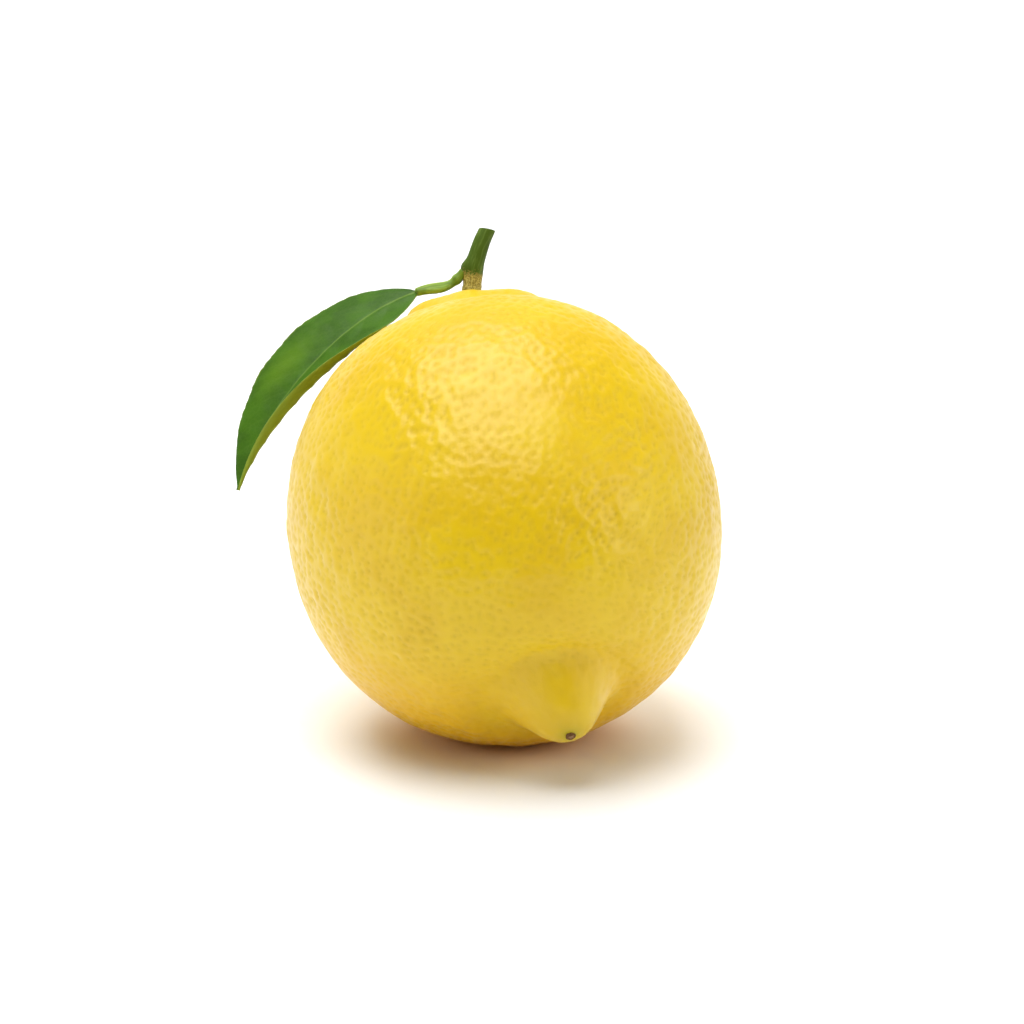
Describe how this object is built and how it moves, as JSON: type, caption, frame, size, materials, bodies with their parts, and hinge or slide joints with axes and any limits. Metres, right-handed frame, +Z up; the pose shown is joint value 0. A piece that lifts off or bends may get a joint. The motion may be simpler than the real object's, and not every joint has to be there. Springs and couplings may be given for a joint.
{
  "type": "lemon",
  "caption": "Whole ripe lemon lying on its side on a small flat spot, with calyx, cut green stalk and one arched leaf on a winged leaf stalk.",
  "frame": {"origin": "middle of the small flat spot that the fruit rests on, at the level of the surface under it", "axes": "+Z up, away from the surface; the stalk end is towards +Y and up, the nipple towards -Y, down and a little to +X; the leaf hangs towards -X"},
  "size_m": [0.0723, 0.0699, 0.0694],
  "materials": {
    "peel": "waxy pitted lemon peel, satin with a soft gloss",
    "style_scar": "dry, dark and matt",
    "calyx": "dry, olive brown and matt",
    "stem": "green bark, corky brown at the foot",
    "petiole": "smooth yellow green, satin",
    "leaf": "leathery, dark green and satin above, pale and matt below"
  },
  "bodies": {
    "root": {"fruit": "peel", "style_scar": "style_scar", "calyx": "calyx", "stem": "stem", "petiole": "petiole", "leaf_blade": "leaf"}
  },
  "joints": []
}
